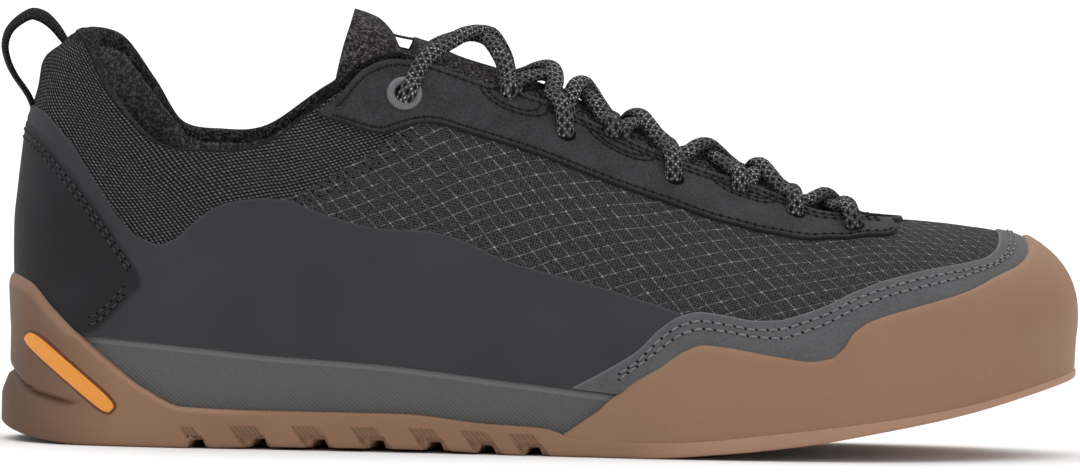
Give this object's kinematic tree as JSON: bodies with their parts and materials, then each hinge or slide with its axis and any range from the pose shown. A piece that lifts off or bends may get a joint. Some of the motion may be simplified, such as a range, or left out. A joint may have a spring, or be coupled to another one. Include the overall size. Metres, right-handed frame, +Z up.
{
  "type": "hiking shoe",
  "caption": "Low hiking and approach shoe for the right foot, laced to the toe, with a rubber toe wrap, a heel clip, a foam midsole, a lugged tread and a heel pull loop.",
  "frame": {"origin": "middle of the shoe's outline on the floor it stands on", "axes": "+X from heel to toe, +Y to the medial (big toe) side, +Z up"},
  "size_m": [0.301, 0.1086, 0.1215],
  "materials": {
    "upper": "black ripstop mesh with matte film",
    "midsole": "dark grey moulded foam, matte",
    "gum_rubber": "gum rubber, matte",
    "footbed": "dark knitted cover on foam",
    "mudguard": "grey abrasion film, matte",
    "eyestay": "charcoal welded film, matte",
    "heel_counter": "charcoal film, satin",
    "eyelet_ring": "grey moulded ring, matte",
    "tongue": "padded mesh",
    "webbing": "woven webbing",
    "lace": "round braided lace with light flecks"
  },
  "bodies": {
    "root": {"upper": "upper", "midsole": "midsole", "outsole": "gum_rubber", "insole": "footbed", "toe_rand": "gum_rubber", "mudguard": "mudguard", "eyestay": "eyestay", "heel_counter": "heel_counter", "eyelet_ring_lateral": "eyelet_ring", "eyelet_ring_medial": "eyelet_ring", "tongue": "tongue", "pull_loop": "webbing", "lace_crossing_1": "lace", "lace_crossing_2": "lace", "lace_crossing_3": "lace", "lace_crossing_4": "lace", "lace_crossing_5": "lace", "lace_crossing_6": "lace", "lace_crossing_7": "lace"}
  },
  "joints": []
}
